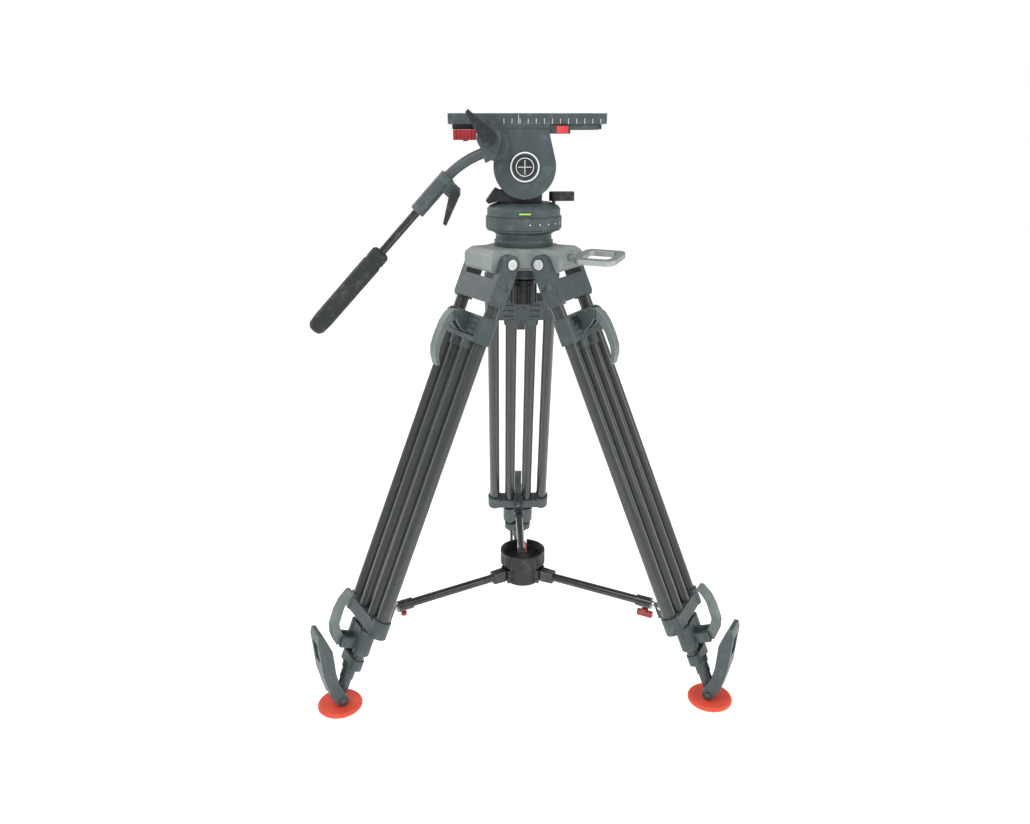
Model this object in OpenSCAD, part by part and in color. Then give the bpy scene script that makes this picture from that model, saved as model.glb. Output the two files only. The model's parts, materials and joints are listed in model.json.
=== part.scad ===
// Fluid head on a three-section tripod with a mid-level spreader. Millimetres, Z up, floor at z = 0.
// The tripod's vertical axis stands at x = 0; legs point left-front, right-front and to the rear.

/* [Stance] */
// Height of the leg hinges above the floor
hinge_z = 755; // [700:1:800]
// Distance of a leg hinge from the tripod's axis
hinge_r = 61; // [60:1:64]
// Lean of each leg from the vertical, degrees
lean = 23.3; // [22:0.1:25]
// Height of the foot joint above the floor
foot_joint_z = 20; // [19:1:22]

/* [Legs] */
// Radius of the outer and inner leg tubes
tube_r = 11; // [10:0.5:12]
// Wall of the leg tubes
tube_wall = 2; // [1.5:0.1:2]
// Outer tubes' distance from the leg's centre line
outer_y = 52.5; // [51:0.5:54]
// Inner tubes' distance from the leg's centre line
inner_y = 18.5; // [18:0.5:19]
// Gap between sliding parts
slide_gap = 0.3; // [0.3:0.05:0.4]
// Width of the boot lever
lever_w = 41; // [36:1:42]
// Diameter of the rubber foot
foot_d = 77; // [70:1:80]

/* [Crown and bowl] */
// Radius of the bowl that takes the head's half ball
bowl_r = 50; // [50:0.5:51]
// Height of the crown's top face
crown_z = 776; // [776:1:780]
// Height of the half ball's centre
ball_z = 786; // [786:1:788]
// Reach of each crown lobe from the axis
lobe_r = 89; // [86:1:90]
// Half width of a crown lobe
lobe_w = 45.4; // [44:0.1:45.4]

/* [Head] */
// Height of the tilt axis
tilt_z = 904; // [904:1:907]
// Radius of the round part of the tilt cheeks
cheek_r = 50; // [50:0.5:52]
// Height of the camera plate's top face
plate_z = 985; // [985:1:988]
// Length of the camera plate
plate_l = 250; // [240:1:255]
// Width of the camera plate
plate_w = 84; // [80:1:88]
// Radius of the pan drag ring
ring_r = 63.5; // [62:0.5:64]

/* [Pan handle] */
// Distance of the pan handle's plane in front of the head's axis
handle_y = 76; // [74:1:78]
// Slope of the straight handle below the horizontal, degrees
handle_slope = 47.2; // [45:0.1:49]
// Radius of the handle tube
handle_r = 8; // [7.5:0.5:8.5]

/* [Spreader] */
// Height of the spreader arms
arm_z = 160; // [158:1:162]
// Radius of the hub's pivots
hub_r = 35; // [34:1:36]
// Radius of the ribbed cup
cup_r = 42; // [40:1:43]
// Radius of the arm tubes
arm_r = 7.5; // [7:0.5:8]

/* [Hidden] */
$fn = 64;
SIDES = ["left", "right", "rear"];
AZIMUTH = [210, 330, 90];
LEG_PARTS = ["leg_fork", "outer_tubes", "leg_bracket", "upper_clamp", "upper_lever", "inner_tubes",
    "lower_clamp", "lower_lever", "lower_stage", "boot_lever", "rubber_foot", "spreader_rod"];
SINGLE_PARTS = ["crown_casting", "hinge_bolts", "carry_loop", "level_ball", "bowl_clamp_knob", "pan_base",
    "pan_drag_ring", "pan_housing", "tilt_core", "pan_brake_lever", "tilt_brake_lever", "tilt_frame",
    "camera_plate", "camera_screws", "plate_clamp_knob", "release_button", "handle_arm",
    "handle_clamp_lever", "handle_rod", "rod_clamp_lever", "handle_grip", "spreader_hub",
    "spreader_arms", "thumb_screws"];

foot_s = (hinge_z - foot_joint_z) / cos(lean);   // hinge to foot joint, along the leg
foot_r = hinge_r + foot_s * sin(lean);           // foot joint's distance from the axis
fork_s = 73;                                     // end of the fork's sockets along the leg
bracket_s = [630, 659];                          // leg bracket, along the leg
upper_s = [93, 137];                             // upper clamp, along the leg
lower_s = [665, 708];                            // lower clamp, along the leg
yoke_s = [720, 738];                             // foot yoke, along the leg
lug_s = 632.7;                                   // spreader pivot, along the leg
lug_n = 35.2;                                    // spreader pivot, inward of the tubes
lug_r = hinge_r + lug_s * sin(lean) - lug_n * cos(lean);
ring_top = 824.6;                                // top of the pan drag ring
dovetail_y = 26;                                 // half width of the plate's dovetail
slide_r = tube_r + slide_gap;                    // bore that a leg tube slides through
stage_r = tube_r - tube_wall - slide_gap;        // lowest tubes, inside the inner ones
loop_ear = 9;                                    // half width of the loop's lug on the crown
loop_roll = 9;                                   // sideways slope of the carrying loop, degrees
slot_x = [-48, 52];                              // middles of the camera screws' slots
slot_half = 27;                                  // half the distance between a slot's end centres
slot_r = 5;                                      // half the width of a slot
castings = [0.16, 0.19, 0.20];
webbing = [0.36, 0.39, 0.38];
carbon = [0.12, 0.14, 0.13];
red = [0.80, 0.16, 0.12];
steel = [0.78, 0.79, 0.80];
black = [0.05, 0.05, 0.06];

// The box's middle lies a quarter of the feet's radius behind the tripod's axis.
module stand() { translate([0, -foot_r / 4, 0]) children(); }
// A leg's own frame: x outward from the leg, y along its hinge, and the leg runs down its -z.
module on_leg(k) {
    stand() rotate([0, 0, AZIMUTH[k]]) translate([hinge_r, 0, hinge_z]) rotate([0, -lean, 0]) children();
}
// A foot's frame: x outward, y along the foot's joint, upright, at the foot joint.
module at_foot(k) { stand() rotate([0, 0, AZIMUTH[k]]) translate([foot_r, 0, foot_joint_z]) children(); }
// A spreader arm's frame: x outward from the hub, at the arms' height.
module on_arm(k) { stand() rotate([0, 0, AZIMUTH[k]]) translate([0, 0, arm_z]) children(); }
// Stretch from s0 to s1 down a leg: a round bar and a box.
module bar(r, s, y = 0, n = 0) { translate([n, y, -s[1]]) cylinder(r = r, h = s[1] - s[0]); }
module block(n, y, s) { translate([n[0], y[0], -s[1]]) cube([n[1] - n[0], y[1] - y[0], s[1] - s[0]]); }
// Round bar along y, centred.
module pin_y(r, w) { rotate([90, 0, 0]) cylinder(r = r, h = w, center = true); }
// Outline in x and z, given thickness w along y, centred.
module slab(w) { rotate([90, 0, 0]) linear_extrude(w, center = true) children(); }
// A round-ended slot along x through z0 to z1.
module slot(x, r, z) {
    for (end = x) translate([end, 0, z[0]]) cylinder(r = r, h = z[1] - z[0]);
    translate([x[0], -r, z[0]]) cube([x[1] - x[0], 2 * r, z[1] - z[0]]);
}

// ---- Crown ----
module crown_casting() {
    color(webbing) stand() difference() {
        union() {
            translate([0, 0, 746]) cylinder(r = 60, h = crown_z - 746);
            intersection() {
                translate([0, 0, ball_z]) sphere(r = 56, $fn = 64);
                translate([0, 0, 734]) cylinder(r = 56, h = 20);
            }
            for (a = AZIMUTH) rotate([0, 0, a]) intersection() {
                slab(2 * lobe_w) polygon([[0, 745], [45, 741], [lobe_r - 4, 741], [lobe_r, 746],
                    [lobe_r, 764], [lobe_r - 3, 770], [lobe_r - 11, crown_z], [0, crown_z]]);
                // shoulders along the lobe's two sides
                rotate([90, 0, 90]) linear_extrude(120) polygon([[-lobe_w, 700], [-lobe_w, crown_z - 8],
                    [8 - lobe_w, crown_z], [lobe_w - 8, crown_z], [lobe_w, crown_z - 8], [lobe_w, 700]]);
            }
            at_loop() translate([-14, -loop_ear, -7]) cube([14, 2 * loop_ear, 14]);
            at_loop() pin_y(7, 2 * loop_ear);
        }
        translate([0, 0, ball_z]) sphere(r = bowl_r, $fn = 96);
        translate([0, 0, 720]) cylinder(r = 24, h = 60);
        for (a = AZIMUTH) rotate([0, 0, a]) translate([hinge_r, 0, hinge_z]) pin_y(5, 100);
        // hollow underside of each lobe, which leaves a wall all round
        for (a = AZIMUTH) rotate([0, 0, a]) translate([69, 0, 752]) {
            for (y = [-24, 24]) translate([-1, y, -14]) cylinder(r = 6, h = 26);
        }
        at_loop() pin_y(2.55, 60);
    }
}
module hinge_bolts() {
    color(steel) stand() for (a = AZIMUTH) rotate([0, 0, a]) translate([hinge_r, 0, hinge_z]) {
        pin_y(4.95, 124);
        for (y = [-1, 1]) translate([0, y * 63.6, 0]) difference() {
            pin_y(8.5, 3.2);
            translate([0, y * 1.6, 0]) pin_y(3, 2.4);
        }
    }
}
// Rounded rectangular carrying loop that swings on a pin at the right lobe's end.
module at_loop() {
    rotate([0, 0, AZIMUTH[1]]) translate([lobe_r + 5, 0, 764]) rotate([loop_roll, 0, 0]) children();
}
module loop_outline(x, w, r) {
    for (px = [x[0] + r, x[1] - r], py = [r - w, w - r]) translate([px, py]) circle(r = r);
    translate([x[0] + r, -w]) square([x[1] - x[0] - 2 * r, 2 * w]);
    translate([x[0], r - w]) square([x[1] - x[0], 2 * w - 2 * r]);
}
module carry_loop() {
    color(steel) stand() at_loop() {
        difference() {
            union() {
                translate([0, 0, -4.5]) linear_extrude(9) loop_outline([9, 82], 32, 14);
                for (y = [-loop_ear - 3, loop_ear + 3]) translate([0, y, 0]) {
                    pin_y(4.7, 5);
                    translate([0, -2.5, -4.5]) cube([20, 5, 9]);
                }
            }
            translate([0, 0, -10]) linear_extrude(20) loop_outline([21, 70], 20, 8);
        }
        pin_y(2.5, 2 * loop_ear + 10);
    }
}

// ---- Half ball and pan base ----
module level_ball() {
    color(castings) stand() translate([0, 0, ball_z]) {
        difference() {
            intersection() {
                sphere(r = bowl_r - 0.3, $fn = 96);
                translate([0, 0, -46]) cylinder(r = 60, h = 46);
            }
            translate([0, 0, -8]) cylinder(r = 30, h = 10);
        }
        rotate_extrude() polygon([[30, 0], [47, 0], [47, 10], [57, 16], [30, 16]]);
        translate([0, 0, -100]) cylinder(r = 6, h = 55);
        difference() {
            translate([0, 0, -64]) cylinder(r = 24, h = 18);
            sphere(r = 56.4, $fn = 96);
        }
    }
}
module bowl_clamp_knob() {
    color(castings) stand() translate([0, 0, ball_z]) difference() {
        union() {
            translate([0, 0, -108]) cylinder(r = 20, h = 40);
            for (a = [0:60:300]) rotate([0, 0, a]) translate([18, 0, -108]) cylinder(r = 5, h = 32);
            translate([0, 0, -68]) cylinder(r = 15, h = 3);
        }
        translate([0, 0, -101]) cylinder(r = 6.05, h = 40);
    }
}
module pan_base() {
    color(castings) stand() difference() {
        union() {
            translate([0, 0, ball_z + 16]) cylinder(r = 61.5, h = 3);
            translate([0, 0, ball_z + 18]) cylinder(r = 50, h = ring_top - ball_z - 18);
            translate([0, 0, ring_top - 1]) cylinder(r = 15, h = 18);
        }
        translate([0, 0, ball_z + 10]) cylinder(r = 5, h = 30);
    }
}
module pan_drag_ring() {
    color(castings) stand() difference() {
        translate([0, 0, ball_z + 19.3]) cylinder(r = ring_r, h = ring_top - ball_z - 19.3, $fn = 96);
        translate([0, 0, ball_z]) cylinder(r = 50.3, h = 60, $fn = 96);
        for (a = [0:15:359]) rotate([0, 0, a]) translate([ring_r + 1.4, 0, ball_z]) cylinder(r = 2.4, h = 60, $fn = 16);
    }
}

// ---- Panning part ----
module pan_housing() {
    color(castings) stand() difference() {
        translate([0, 0, ring_top]) rotate_extrude($fn = 96)
            polygon([[0, 0.4], [61, 0.4], [61, 12], [57, 17], [45, 22], [0, 22]]);
        translate([0, 0, ring_top - 2]) cylinder(r = 15.05, h = 19.4);
        translate([-18, -70, ring_top + 4]) cube([56, 11, 6.5]);
    }
    color(steel) stand() translate([50, 0, 841]) cylinder(r = 3, h = 15);
}
module tilt_core() {
    color(black) stand() difference() {
        union() {
            translate([0, 0, tilt_z]) pin_y(42, 54);
            translate([-29, -27, ring_top + 22]) cube([58, 54, 42]);
            for (y = [-27, 20.6]) translate([-45, y, 849]) cube([18, 6.4, 17]);
        }
        translate([0, 0, tilt_z]) pin_y(9.05, 60);
        translate([-39, 0, 857]) pin_y(3.05, 60);
    }
}
module pan_brake_lever() {
    color(black) stand() difference() {
        union() {
            translate([50, -8, 848.5]) cube([33.5, 16, 15]);
            translate([50, 0, 848.5]) cylinder(r = 8, h = 15);
        }
        translate([50, 0, 847]) cylinder(r = 3.05, h = 9.5);
    }
}
module tilt_brake_lever() {
    color(black) stand() {
        difference() {
            slab(40) polygon([[-48, 870], [-63, 849.5], [-58.5, 845], [-45, 848.6], [-36, 848.8], [-33.5, 852],
                [-33.5, 863]]);
            // two grooves across the pad's top
            for (x = [0, 4]) translate([-48 + x, 0, 870 - 1.6 * x]) rotate([0, 36, 0]) cube([1.2, 44, 3], center = true);
        }
        translate([-39, 0, 857]) pin_y(3, 53);
    }
}

// ---- Tilting part ----
// Outline of a cheek: a round bottom whose sides run straight to the platform.
module cheek_outline() {
    top = [38.5, 53];
    reach = norm(top);
    turn = atan2(top[1], top[0]) - acos(cheek_r / reach);
    touch = cheek_r * [cos(turn), sin(turn)];
    circle(r = cheek_r, $fn = 96);
    polygon([[-touch[0], touch[1]], [-top[0], top[1]], top, touch]);
}
module tilt_frame() {
    color(castings) stand() translate([0, 0, tilt_z]) difference() {
        union() {
            for (y = [-36.6, 36.6]) translate([0, y, 0]) slab(16.8) cheek_outline();
            translate([-38.5, -45, 43.5]) cube([77, 90, 13]);
            // bed of the plate, with a rail along each side of its dovetail
            translate([-63, -42, 50.4]) cube([102, 84, 6.4]);
            for (y = [-42, dovetail_y + 0.4]) translate([-63, y, 50.4])
                cube([102, 41.6 - dovetail_y, plate_z - 16.2 - tilt_z - 50.4]);
            translate([-112, -9, 50.4]) cube([50, 18, 6.4]);
            // front bar and the release button's guide
            translate([38, -39, 56.2]) cube([78, 11, 8.5]);
            translate([38, 28, 56.2]) cube([78, 12, 8.5]);
            translate([47, -39, 50.4]) cube([24, 11, 14.2]);
            translate([38, 28, 50.4]) cube([40, 12, 8]);
            translate([38, -39, 50.4]) cube([12, 11, 8]);
            for (y = [-1, 1]) translate([0, y * 46, 0]) pin_y(24, 2);
            // bracket for the pan handle's rosette
            translate([0, -54.5, -tilt_z]) slab(21) polygon([[-70, 936], [-75, 950], [-70, 963], [-58, 967],
                [-44, 965], [-28, 950], [-24, 938], [-30, 918], [-52, 914]]);
        }
        pin_y(43, 56.4);
        pin_y(9.05, 84);
        translate([handle_pivot[0], -58, handle_pivot[1] - tilt_z]) pin_y(5.05, 30);
        translate([58.5, -38, 57]) pin_y(4.05, 24);
    }
    color(steel) stand() translate([0, 0, tilt_z]) pin_y(9, 83);
    color(steel) stand() translate([-95, 0, 943]) cylinder(r = 4, h = 13);
}
module camera_plate() {
    color(castings) stand() difference() {
        union() {
            translate([4 - plate_l / 2, -plate_w / 2, plate_z - 16]) cube([plate_l, plate_w, 16]);
            translate([4 - plate_l / 2 + 6, -dovetail_y, plate_z - 23.9]) cube([plate_l - 12, 2 * dovetail_y, 9]);
            for (x = [4 - plate_l / 2, 4 + plate_l / 2 - 6])
                translate([x, -plate_w / 2 - 1, plate_z - 16]) cube([6, plate_w + 2, 15]);
        }
        // two slots that the camera screws slide in
        for (x = slot_x) {
            slot([x - slot_half, x + slot_half], slot_r, [plate_z - 30, plate_z + 1]);
            slot([x - slot_half - 2, x + slot_half + 2], 9, [plate_z - 25, plate_z - 15]);
        }
        // grooves of the top's rubber strips
        for (y = [-32, 20]) translate([-108, y, plate_z - 1.2]) cube([224, 12, 2]);
    }
}
module camera_screws() {
    color(steel) stand() for (x = slot_x) translate([x + slot_half - 3, 0, plate_z]) {
        translate([0, 0, -18]) cylinder(r = x < 0 ? 4.7 : 3.1, h = 17);
        translate([0, 0, -23]) cylinder(r = 8, h = 6);
    }
}
module plate_clamp_knob() {
    color(red) stand() translate([-95, 0, 945]) difference() {
        union() {
            cylinder(r = 16, h = 9);
            translate([-18, -44, 0]) cube([36, 34, 9]);
            translate([-18, -44, 0]) cube([36, 21, 15.5]);
        }
        translate([0, 0, -3]) cylinder(r = 4.05, h = 16);
        // finger grooves in the front face
        for (x = [-12:6:12]) translate([x, -44.6, -1]) cylinder(r = 1.5, h = 20, $fn = 16);
    }
}
module release_button() {
    color(red) stand() translate([58.5, -43, 961]) {
        translate([-9, -6, -6]) cube([18, 6.8, 11]);
        translate([0, 6, 0]) pin_y(4, 13);
    }
}

// ---- Pan handle ----
handle_pivot = [-56.5, 948.5];                   // rosette, in x and z
bend_start = [-66, 926];                       // start of the bent tube, in x and z
bend_end = [-126, 886.5];                      // end of the bent tube, in x and z
chord = bend_end - bend_start;
chord_slope = atan2(-chord[1], -chord[0]);     // chord's slope below the horizontal
bend_half = handle_slope - chord_slope;        // half the angle that the tube bends through
bend_r = norm(chord) / 2 / sin(bend_half);
// Straight handle's frame: x runs down the handle from the end of the bend, z is its upper side.
rod_pivot = [4, 0, -25.4];                     // pivot of the rod's clamp lever, under the sleeve
module on_handle() {
    stand() translate([bend_end[0], -handle_y, bend_end[1]]) rotate([0, 180 - handle_slope, 0])
        rotate([180, 0, 0]) children();
}
module along_handle(r, x0, x1) { translate([x0, 0, 0]) rotate([0, 90, 0]) cylinder(r = r, h = x1 - x0); }
module handle_arm() {
    color(black) stand() {
        difference() {
            translate([handle_pivot[0], -handle_y + 0.6, handle_pivot[1]]) union() {
                pin_y(19, 19);
                slab(19) polygon([[-14, -14], [-6, -37], [10, -30], [19, -6], [0, 0], [-19, 0]]);
            }
            translate([handle_pivot[0], -handle_y - 7, handle_pivot[1]]) pin_y(5.05, 24);
        }
        translate([handle_pivot[0], -60, handle_pivot[1]]) pin_y(5, 16);
        translate([bend_start[0], -handle_y, bend_start[1]])
            rotate([0, -chord_slope + bend_half, 0]) rotate([90, 0, 0]) translate([0, -bend_r, 0])
                rotate([0, 0, 90 - 3]) rotate_extrude(angle = 2 * bend_half + 3)
                    translate([bend_r, 0]) circle(r = handle_r);
    }
    color(castings) on_handle() difference() {
        union() {
            along_handle(12, -8, 66);
            translate([-6, -9, -28]) cube([22, 18, 22]);
            translate(rod_pivot) pin_y(8, 18);
        }
        along_handle(handle_r - 1.4, 2, 80);
        translate(rod_pivot) pin_y(3.05, 30);
    }
}
// Tapered clamp lever: a round head at the pivot that narrows to its tip.
module tapered_lever(head, tip, len, w) {
    pin_y(head, w);
    slab(w) polygon([[-head * 0.97, head * 0.2], [-tip, len], [tip, len + 1], [head * 0.97, head * 0.2]]);
}
module handle_clamp_lever() {
    color(castings) stand() translate([handle_pivot[0], -handle_y - 15.6, handle_pivot[1]])
        rotate([0, -40.4, 0]) tapered_lever(12.5, 3, 51, 11);
    color(steel) stand() translate([handle_pivot[0], -82, handle_pivot[1]]) pin_y(5, 18);
}
module handle_rod() {
    color(black) on_handle() along_handle(handle_r - 1.45, 6, 170);
}
module rod_clamp_lever() {
    color(castings) on_handle() translate(rod_pivot) {
        translate([0, 14.6, 0]) rotate([0, 113, 0]) tapered_lever(8.5, 3, 50, 10);
        translate([0, 3, 0]) pin_y(3, 24);
    }
}
module handle_grip() {
    color(black) on_handle() rotate([0, 90, 0]) difference() {
        rotate_extrude() polygon([[0, 152], [12, 152], [15, 156], [15, 170], [14, 173], [15.5, 178], [15.5, 300],
            [14, 318], [10, 324], [0, 324]]);
        translate([0, 0, 150]) cylinder(r = handle_r - 1.45, h = 20);
    }
}

// ---- Spreader ----
module spreader_hub() {
    color(castings) stand() translate([0, 0, arm_z]) difference() {
        union() {
            translate([0, 0, -18]) cylinder(r = 33, h = 36);
            for (a = AZIMUTH) rotate([0, 0, a]) translate([hub_r - 9, -13, -14]) cube([14, 26, 26]);
            difference() {
                translate([0, 0, 17]) cylinder(r = cup_r, h = 26);
                for (a = [0:10:350]) rotate([0, 0, a]) translate([cup_r + 1.2, 0, 16])
                    cylinder(r = 2.4, h = 22, $fn = 14);
            }
        }
        translate([0, 0, 20]) cylinder(r = cup_r - 4, h = 40);
        for (a = AZIMUTH) rotate([0, 0, a]) {
            translate([hub_r - 12, -8.3, -20]) cube([40, 16.6, 38]);
            translate([hub_r, 0, 0]) pin_y(2.5, 60);
        }
        for (a = [30:60:359]) rotate([0, 0, a]) translate([22, 0, -22]) cylinder(r = 7, h = 9);
        rotate([0, 0, 90]) translate([30, -9, 18]) cube([20, 18, 40]);
    }
}
module spreader_arms() {
    for (k = [0:2]) on_arm(k) {
        color(castings) difference() {
            union() {
                translate([hub_r, 0, 0]) pin_y(9, 16);
                slab(16) polygon([[hub_r, -9], [hub_r + 10, -11], [hub_r + 32, -10], [hub_r + 32, 10],
                    [hub_r + 10, 11], [hub_r, 9]]);
            }
            translate([hub_r, 0, 0]) pin_y(2.5, 60);
            translate([hub_r + 22, 0, 0]) rotate([0, 90, 0]) cylinder(r = arm_r, h = 40);
        }
        color(steel) translate([hub_r, 0, 0]) pin_y(2.5, 26);
        color(black) difference() {
            translate([hub_r + 22, 0, 0]) rotate([0, 90, 0]) cylinder(r = arm_r, h = lug_r - 44 - hub_r);
            translate([hub_r + 20, 0, 0]) rotate([0, 90, 0]) cylinder(r = 4.8, h = 400);
        }
        color(castings) difference() {
            translate([lug_r - 46, 0, 0]) rotate([0, 90, 0]) cylinder(r = 10, h = 28);
            translate([lug_r - 50, 0, 0]) rotate([0, 90, 0]) cylinder(r = arm_r, h = 28);
            translate([lug_r - 50, 0, 0]) rotate([0, 90, 0]) cylinder(r = 4.8, h = 50);
            translate([lug_r - 30, 0, -20]) cylinder(r = 2, h = 20);
        }
    }
}
module spreader_rod(k) {
    color(steel) on_arm(k) {
        translate([hub_r + 70, 0, 0]) rotate([0, 90, 0]) cylinder(r = 4.5, h = lug_r - hub_r - 74);
        translate([lug_r, 0, 0]) {
            pin_y(5.4, 8);
            pin_y(2.4, 19);
        }
    }
}
module thumb_screws() {
    for (k = [0:2]) on_arm(k) translate([lug_r - 30, 0, 0]) {
        color(k == 0 ? steel : red) {
            translate([0, 0, -16]) cylinder(r = 2, h = 8.2);
            if (k > 0) {
                translate([0, 0, -19]) cylinder(r = 6, h = 5.5);
                translate([-14, -4, -28]) cube([28, 8, 10]);
            } else translate([0, 0, -19]) cylinder(r = 5, h = 6);
        }
    }
}

// ---- Leg, top section ----
module leg_fork(k) {
    color(castings) on_leg(k) difference() {
        union() {
            for (y = [-54, 54]) translate([0, y, 0]) {
                pin_y(15, 16);
                slab(16) polygon([[-15, 0], [15, 0], [15.4, -fork_s + 6], [-15.4, -fork_s + 6]]);
            }
            for (y = [-outer_y, outer_y]) {
                bar(15.6, [44, fork_s], y);
                translate([0, y, -44.5]) cylinder(r1 = 15.6, r2 = 8, h = 15);
            }
            block([9, 15.6], [-60, 60], [31, fork_s - 3]);
            for (y = [-1, 1]) block([-4, 13], [y < 0 ? -48 : 34, y < 0 ? -34 : 48], [50, fork_s - 3]);
        }
        pin_y(5.05, 140);
        for (y = [-outer_y, outer_y]) bar(tube_r, [45, 100], y);
    }
}
module outer_tubes(k) {
    color(carbon) on_leg(k) for (y = [-outer_y, outer_y]) difference() {
        bar(tube_r, [45, bracket_s[1] - 5], y);
        bar(tube_r - tube_wall, [40, bracket_s[1]], y);
    }
}
module leg_bracket(k) {
    color(castings) on_leg(k) difference() {
        union() {
            for (y = [-outer_y, outer_y]) bar(15, bracket_s, y);
            block([-12.5, 12.5], [-outer_y, outer_y], bracket_s + [6, 0]);
            for (y = [-10, 6]) block([-lug_n - 8, -10], [y, y + 4], [lug_s - 10, lug_s + 18]);
        }
        for (y = [-outer_y, outer_y]) bar(tube_r, [600, bracket_s[1] - 5], y);
        for (y = [-inner_y, inner_y]) bar(slide_r, [600, 680], y);
        translate([-lug_n, 0, -lug_s]) pin_y(6, 40);
    }
}

// ---- Leg, middle section ----
upper_n = 34;                                  // upper flip lever's pin, out of the tubes' plane
upper_pin = upper_s[0] + 9;                    // upper flip lever's pin, along the leg
lower_n = 34;                                  // lower flip lever's pin, out of the tubes' plane
lower_pin = lower_s[1] - 15;                   // lower flip lever's pin, along the leg
// Outline in n and s, measured from the upper clamp's top, given thickness w along y from y0.
module on_slab(y0, w) {
    translate([0, y0 + w, -upper_s[0]]) rotate([90, 0, 0]) linear_extrude(w) mirror([0, 1]) children();
}
module upper_clamp(k) {
    color(castings) on_leg(k) difference() {
        union() {
            for (y = [-outer_y, outer_y]) bar(15.2, upper_s, y);
            block([-13, 13], [-outer_y, outer_y], upper_s);
            for (y = [-inner_y, inner_y]) bar(14, [upper_s[1] - 2, upper_s[1] + 15], y);
            for (y = [-16, 9.2]) on_slab(y, 6.8) polygon([[10, 2], [36, 0], [42, 6], [40, 16], [26, 28], [10, 36]]);
            translate([-13, 0, 22 - upper_s[1]]) rotate([0, 90, 0]) translate([0, 0, -1.2]) cylinder(r = 8, h = 3);
        }
        for (y = [-outer_y, outer_y]) bar(slide_r, [90, 170], y);
        for (y = [-inner_y, inner_y]) bar(tube_r, [upper_s[0] + 6, 190], y);
        for (y = [-34, 14], s = [7, 19, 31]) block([-14, -11.6], [y, y + 20], [upper_s[0] + s, upper_s[0] + s + 4.5]);
        for (y = [-44, 20], s = [5, 14, 23, 32]) block([11.6, 14], [y, y + 24], [upper_s[0] + s, upper_s[0] + s + 4]);
        translate([upper_n, 0, -upper_pin]) pin_y(3, 40);
    }
    color(steel) on_leg(k) translate([upper_n, 0, -upper_pin]) pin_y(2.95, 31);
}
module upper_lever(k) {
    color(webbing) on_leg(k) translate([upper_n, 0, -upper_pin]) difference() {
        union() {
            pin_y(6.4, 18);
            slab(18) polygon([[-3, 5], [9, 4], [16, -6], [20, -22], [21, -46], [20, -64], [15, -78], [4, -93],
                [-1, -90], [7, -76], [10, -62], [10, -40], [7, -20], [-4, -5]]);
        }
        pin_y(3, 40);
    }
}
module inner_tubes(k) {
    color(carbon) on_leg(k) for (y = [-inner_y, inner_y]) difference() {
        bar(tube_r, [upper_s[0] + 6, lower_s[1] - 6], y);
        bar(tube_r - tube_wall, [upper_s[0], lower_s[1]], y);
    }
}
module lower_clamp(k) {
    color(castings) on_leg(k) difference() {
        union() {
            for (y = [-inner_y, inner_y]) bar(14.6, lower_s, y);
            block([-12.5, 12.5], [-inner_y, inner_y], lower_s + [0, -6]);
            for (y = [-16, 9.4]) block([8, 40], [y, y + 6.6], [lower_pin - 9, lower_pin + 9]);
        }
        for (y = [-inner_y, inner_y]) bar(tube_r, [640, lower_s[1] - 6], y);
        for (y = [-inner_y, inner_y]) bar(tube_r - tube_wall, [640, 720], y);
        translate([lower_n, 0, -lower_pin]) pin_y(3, 40);
    }
    color(steel) on_leg(k) translate([lower_n, 0, -lower_pin]) pin_y(2.95, 31);
}
module lower_lever(k) {
    color(webbing) on_leg(k) translate([lower_n, 0, -lower_pin]) difference() {
        union() {
            pin_y(6.2, 18);
            slab(18) polygon([[-4, -5], [-4, 5], [8, 14], [18, 30], [19, 60], [15, 76], [10, 86], [13, 90], [19, 88],
                [27, 70], [30, 50], [29, 22], [22, 6], [10, -8]]);
        }
        pin_y(3, 40);
    }
}

// ---- Leg, lowest section and foot ----
module lower_stage(k) {
    color(carbon) on_leg(k) for (y = [-inner_y, inner_y]) difference() {
        bar(stage_r, [250, yoke_s[0] + 12], y);
        bar(stage_r - 1.6, [240, yoke_s[0] + 10], y);
    }
    color(castings) on_leg(k) difference() {
        union() {
            for (y = [-inner_y, inner_y]) bar(11, yoke_s, y);
            block([-11, 11], [-inner_y, inner_y], yoke_s);
            bar(14.5, [yoke_s[1] - 1, yoke_s[1] + 6]);
            bar(12, [yoke_s[1] + 5, yoke_s[1] + 26]);
            translate([0, 0, -yoke_s[1] - 48]) cylinder(r1 = 7, r2 = 9.8, h = 23);
            block([-9, 9], [-4.8, 4.8], [yoke_s[1] + 24, foot_s]);
            translate([0, 0, -foot_s]) pin_y(9, 9.6);
        }
        for (y = [-inner_y, inner_y]) bar(stage_r + 0.05, [700, yoke_s[0] + 12], y);
        translate([0, 0, -foot_s]) pin_y(3, 40);
    }
    color(steel) at_foot(k) {
        pin_y(3, 34);
        for (y = [-18, 18]) translate([0, y, 0]) pin_y(5, 2.6);
    }
}
module boot_lever(k) {
    color(castings) at_foot(k) difference() {
        intersection() {
            union() {
                pin_y(11, lever_w);
                slab(lever_w) polygon([[-8, 7], [4, 34], [9, 60], [12, 105], [26, 140], [33, 141], [36, 130],
                    [31, 62], [20, 12], [9, -6]]);
            }
            union() {
                translate([-20, -16.5, -20]) cube([80, 33, 60]);
                translate([-20, -lever_w / 2, 40]) cube([80, lever_w, 120]);
                translate([18, -lever_w / 2, 24]) cube([40, lever_w, 60]);
            }
        }
        // fork that straddles the foot joint, and the hollow of the paddle's outer face
        translate([-30, -10.2, -20]) cube([49, 20.4, 50]);
        translate([-30, -10.2, 29]) cube([36, 20.4, 20]);
        translate([17.5, -11, -20]) cube([10, 22, 36]);
        translate([29, -12, 84]) cube([12, 24, 38]);
        pin_y(3.05, 60);
    }
}
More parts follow.
